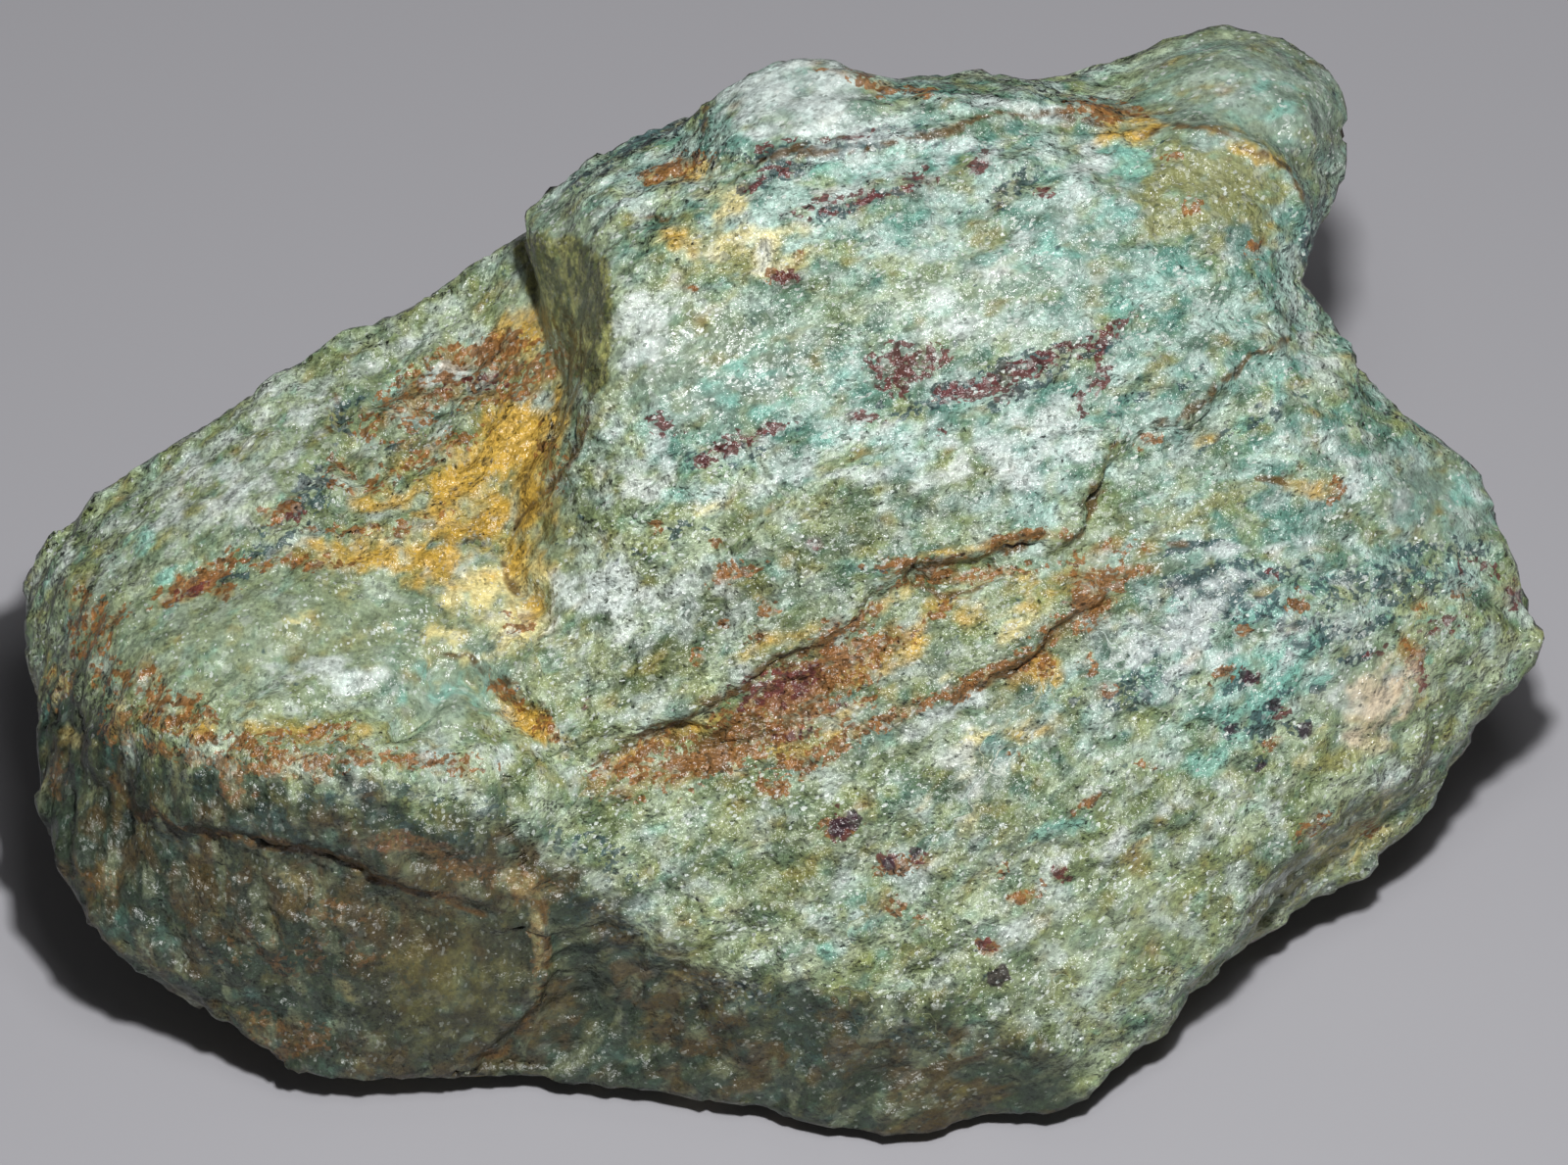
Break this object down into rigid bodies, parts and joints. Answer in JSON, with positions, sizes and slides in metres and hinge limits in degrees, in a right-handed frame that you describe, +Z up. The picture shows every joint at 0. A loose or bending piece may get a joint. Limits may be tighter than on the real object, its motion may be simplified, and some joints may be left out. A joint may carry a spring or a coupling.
{
  "type": "rough quartzite",
  "caption": "Rough lump of green micaceous quartzite with a broad leaning face, a lower shoulder and broken walls, lying on a flat break.",
  "frame": {"origin": "middle of the bounding box in plan, on the flat break that the stone lies on", "axes": "+X along the stone's length, from the low shoulder to the pointed end; +Z up; the broad face leans back and looks towards -Y and +Z"},
  "size_m": [0.1002, 0.0686, 0.0462],
  "materials": {
    "quartzite": "rough, granular"
  },
  "bodies": {
    "root": {"quartzite": "quartzite"}
  },
  "joints": []
}
